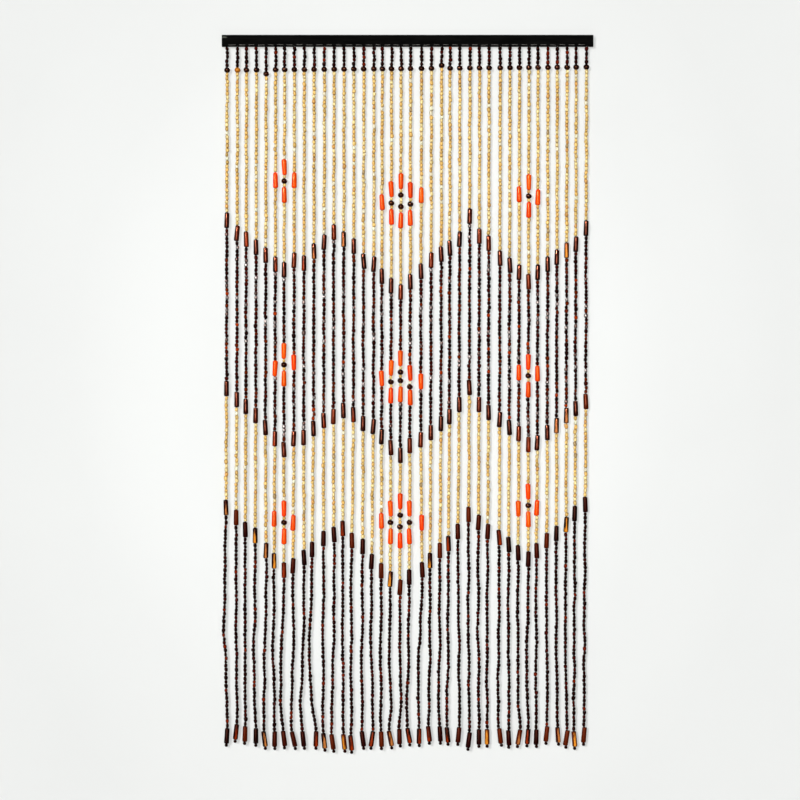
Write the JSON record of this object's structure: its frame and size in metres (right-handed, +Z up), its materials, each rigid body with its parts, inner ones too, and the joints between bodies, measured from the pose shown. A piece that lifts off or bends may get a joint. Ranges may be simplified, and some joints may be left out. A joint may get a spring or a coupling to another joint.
{
  "type": "bead curtain with head lath",
  "caption": "Door curtain of hanging bead strings with zigzag rows of tube beads and small bead flowers, on a flat wooden head lath.",
  "frame": {"origin": "centre of the head lath's back face, where the lath lies against a lintel or wall", "axes": "+Z up; front of the curtain towards -Y; +X to the right as seen from the front"},
  "size_m": [0.9, 0.0141, 1.7417],
  "materials": {
    "black_wood": "black satin paint on a fine-grained wood lath, worn pale at one corner",
    "pale_bead": "small natural beads, straw to honey, satin lacquer",
    "dark_bead": "small stained beads, near-black brown with red-brown highlights, satin lacquer",
    "brown_bead": "tube beads in dark red-brown lacquer, a few lighter",
    "orange_bead": "tube beads in glossy orange lacquer",
    "round_bead": "round beads in glossy black-brown lacquer",
    "line": "thin clear nylon line"
  },
  "bodies": {
    "root": {"head_lath": "black_wood", "bead_strings": "pale_bead"}
  },
  "joints": []
}
